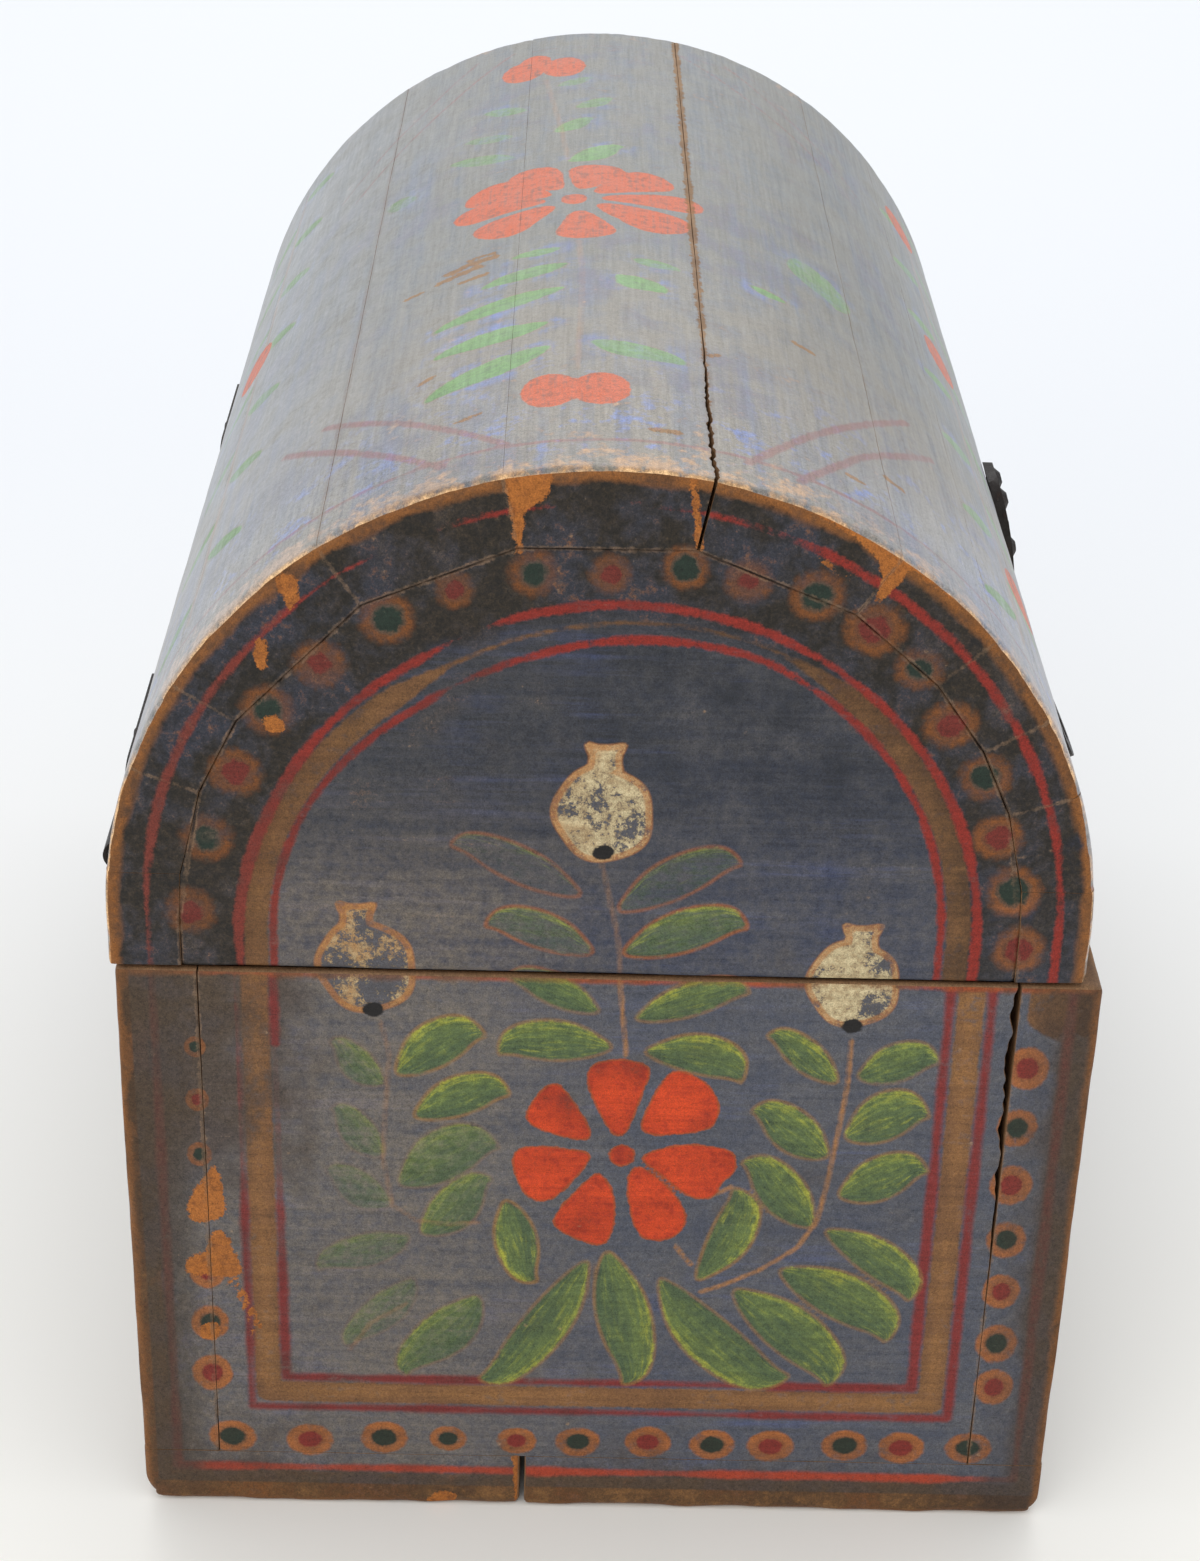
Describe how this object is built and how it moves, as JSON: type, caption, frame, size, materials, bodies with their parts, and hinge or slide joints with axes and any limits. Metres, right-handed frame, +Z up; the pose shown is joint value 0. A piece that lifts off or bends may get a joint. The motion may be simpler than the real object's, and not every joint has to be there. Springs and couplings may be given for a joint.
{
  "type": "dome-top storage box",
  "caption": "Dome-top wooden box: plank base, coopered lid on leaf hinges at the back, swinging hasp over a staple at the front.",
  "frame": {"origin": "centre of the underside of the box, on the surface that it stands on", "axes": "+Z up, +X along the length, -Y the front with the hasp, +Y the back with the hinges"},
  "size_m": [0.203, 0.1479, 0.1635],
  "materials": {
    "painted_wood": "worn blue-grey paint with folk flowers and borders, varnished",
    "bottom_wood": "old bare softwood, brown and worn",
    "forged_iron": "dark hand-forged iron, lightly rusted"
  },
  "bodies": {
    "base": {"bottom_plank_front": "bottom_wood", "bottom_plank_back": "bottom_wood", "front_board": "painted_wood", "back_board": "painted_wood", "left_end_board": "painted_wood", "right_end_board": "painted_wood", "bottom_nails": "forged_iron", "corner_nails": "forged_iron", "base_leaf_left": "forged_iron", "base_leaf_right": "forged_iron", "hinge_pin_left": "forged_iron", "hinge_pin_right": "forged_iron", "base_leaf_nails": "forged_iron", "hasp_staple": "forged_iron"},
    "lid": {"lid_back_rail": "painted_wood", "lid_front_rail": "painted_wood", "lid_stave_01": "painted_wood", "lid_stave_02": "painted_wood", "lid_stave_03": "painted_wood", "lid_stave_04": "painted_wood", "lid_stave_05": "painted_wood", "lid_stave_06": "painted_wood", "lid_stave_07": "painted_wood", "lid_stave_08": "painted_wood", "lid_stave_09": "painted_wood", "lid_stave_10": "painted_wood", "left_arch_panel": "painted_wood", "right_arch_panel": "painted_wood", "lid_leaf_left": "forged_iron", "lid_leaf_right": "forged_iron", "lid_leaf_nails": "forged_iron", "hasp_plate": "forged_iron", "hasp_plate_nails": "forged_iron", "hasp_pin": "forged_iron"},
    "hasp": {"hasp_strap": "forged_iron"}
  },
  "joints": [
    {"name": "lid_hinge", "type": "hinge", "parent": "base", "child": "lid", "pos_m": [0, 0.06805, 0.0918], "axis": [-1, 0, 0], "range_deg": [0, 180]},
    {"name": "hasp_swing", "type": "hinge", "parent": "lid", "child": "hasp", "pos_m": [0, -0.06465, 0.095], "axis": [-1, 0, 0], "range_deg": [-25, 120]}
  ]
}
